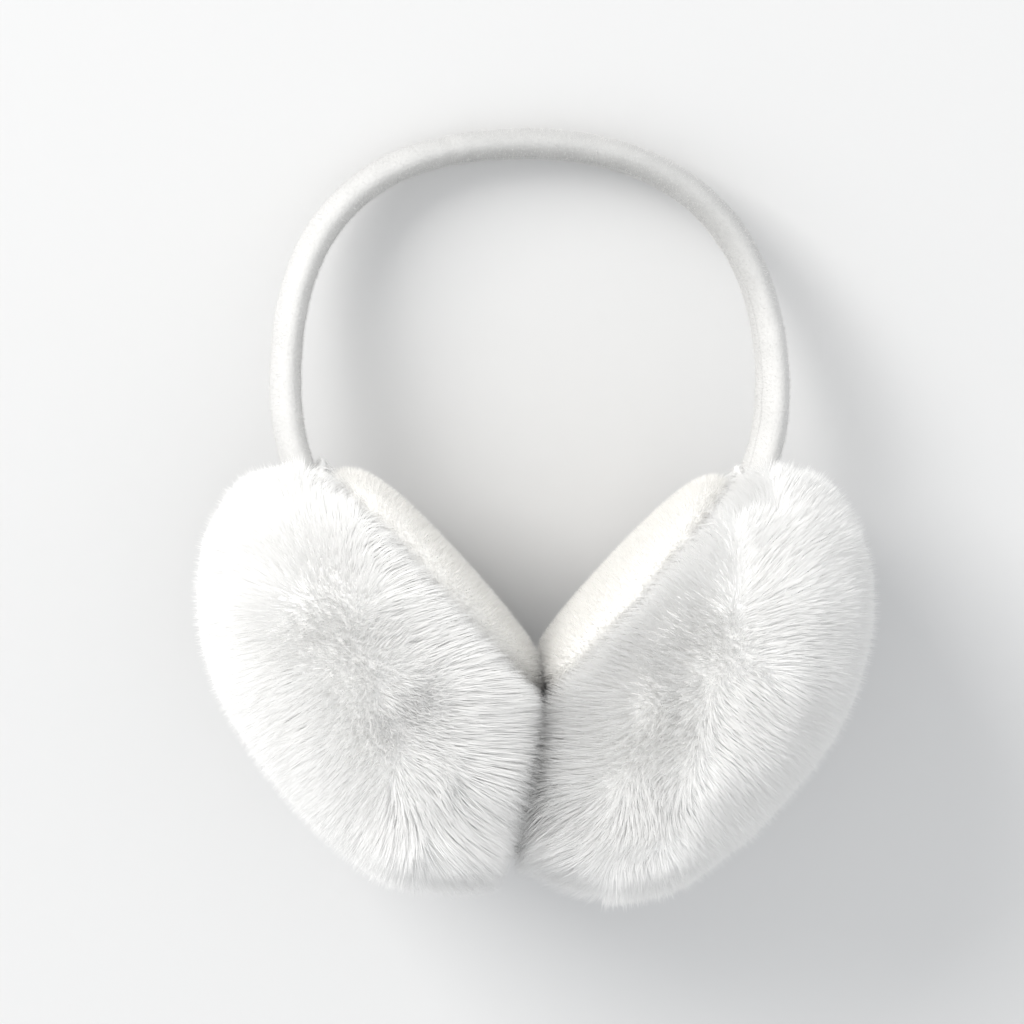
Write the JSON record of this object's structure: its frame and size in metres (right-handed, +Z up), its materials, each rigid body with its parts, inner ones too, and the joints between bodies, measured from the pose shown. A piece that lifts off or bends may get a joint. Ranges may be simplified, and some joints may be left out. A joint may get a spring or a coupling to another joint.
{
  "type": "fur earmuffs",
  "caption": "Fur earmuffs: a padded velvet headband arch with a deep round fur pad and a soft ear cushion at each end, lying at rest.",
  "frame": {"origin": "on the table, under the middle of the earmuffs' box", "axes": "+X from the left pad to the right pad, +Y towards the headband's crown, +Z up from the table"},
  "size_m": [0.1754, 0.1944, 0.1174],
  "materials": {
    "velvet": "matt white velvet sleeve",
    "fur": "long white fur",
    "plush": "short off-white pile"
  },
  "bodies": {
    "root": {"headband": "velvet", "outer_fur_left": "fur", "outer_fur_right": "fur", "ear_cushion_left": "plush", "ear_cushion_right": "plush"}
  },
  "joints": []
}
